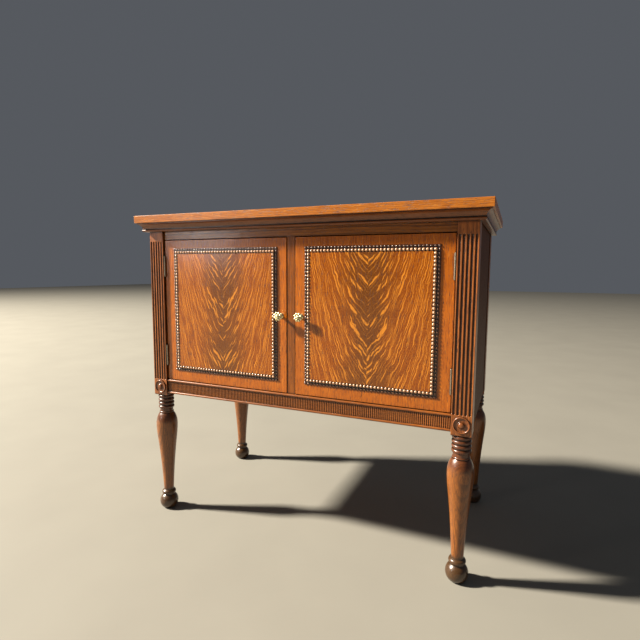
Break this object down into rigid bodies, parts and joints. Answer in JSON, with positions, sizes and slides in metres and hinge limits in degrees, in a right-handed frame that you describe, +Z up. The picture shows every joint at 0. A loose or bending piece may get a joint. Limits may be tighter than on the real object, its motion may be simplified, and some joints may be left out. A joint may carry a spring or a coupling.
{
  "type": "server cabinet",
  "caption": "Oak server cabinet: flat top with a moulded cornice, hinged doors with beaded raised fields between fluted posts, reeded apron, turned legs on ball feet.",
  "frame": {"origin": "centre of the footprint on the floor, at the bottom of the feet", "axes": "+X to the right seen from the front, +Y towards the back, +Z up"},
  "size_m": [1.058, 0.543, 0.965],
  "materials": {
    "oak_top": "satin varnish over golden brown stain",
    "oak_dark": "gloss varnish over reddish brown stain",
    "oak_bead": "gloss varnish over dark brown stain",
    "oak_door": "gloss varnish over orange brown stain",
    "oak_veneer": "gloss varnish, quarter-sawn book-matched figure",
    "oak_inside": "bare dry wood",
    "brass": "aged cast brass",
    "hinge_metal": "worn plated steel",
    "screw_steel": "dull steel",
    "catch_case": "brown catch housing"
  },
  "bodies": {
    "case": {"apron_bead_lower": "oak_dark", "apron_bead_upper": "oak_dark", "apron_rail": "oak_dark", "back_panel": "oak_inside", "back_panel_screws": "screw_steel", "back_rail_lower": "oak_inside", "back_rail_upper": "oak_inside", "bottom_board": "oak_inside", "centre_stile": "oak_dark", "cornice_front": "oak_dark", "cornice_left": "oak_dark", "cornice_right": "oak_dark", "door_catches": "catch_case", "frieze_rail": "oak_dark", "hinge_pins": "hinge_metal", "hinge_post_leaves_left": "hinge_metal", "hinge_post_leaves_right": "hinge_metal", "hinge_post_screws": "screw_steel", "leg_back_left": "oak_dark", "leg_back_right": "oak_dark", "leg_front_left": "oak_dark", "leg_front_right": "oak_dark", "rosette_left": "oak_dark", "rosette_right": "oak_dark", "shelf": "oak_inside", "shelf_cleat_left": "oak_inside", "shelf_cleat_right": "oak_inside", "shelf_cleat_screws": "screw_steel", "side_panel_left": "oak_dark", "side_panel_right": "oak_dark", "top_board": "oak_top", "top_cleat_left": "oak_inside", "top_cleat_right": "oak_inside", "top_screws": "screw_steel"},
    "door_left": {"door_left_bead_bottom": "oak_bead", "door_left_bead_free_side": "oak_bead", "door_left_bead_hinge_side": "oak_bead", "door_left_bead_top": "oak_bead", "door_left_field_core": "oak_inside", "door_left_hinge_leaves": "hinge_metal", "door_left_hinge_screws": "screw_steel", "door_left_knob": "brass", "door_left_knob_screw": "screw_steel", "door_left_slab": "oak_door", "door_left_strike": "screw_steel", "door_left_veneer_free_side": "oak_veneer", "door_left_veneer_hinge_side": "oak_veneer"},
    "door_right": {"door_right_bead_bottom": "oak_bead", "door_right_bead_free_side": "oak_bead", "door_right_bead_hinge_side": "oak_bead", "door_right_bead_top": "oak_bead", "door_right_field_core": "oak_inside", "door_right_hinge_leaves": "hinge_metal", "door_right_hinge_screws": "screw_steel", "door_right_knob": "brass", "door_right_knob_screw": "screw_steel", "door_right_slab": "oak_door", "door_right_strike": "screw_steel", "door_right_veneer_free_side": "oak_veneer", "door_right_veneer_hinge_side": "oak_veneer"}
  },
  "joints": [
    {"name": "door_left_hinge", "type": "hinge", "parent": "case", "child": "door_left", "pos_m": [-0.4433, -0.2355, 0.668], "axis": [0, 0, -1], "range_deg": [0, 110]},
    {"name": "door_right_hinge", "type": "hinge", "parent": "case", "child": "door_right", "pos_m": [0.4433, -0.2355, 0.668], "axis": [0, 0, 1], "range_deg": [0, 110]}
  ]
}
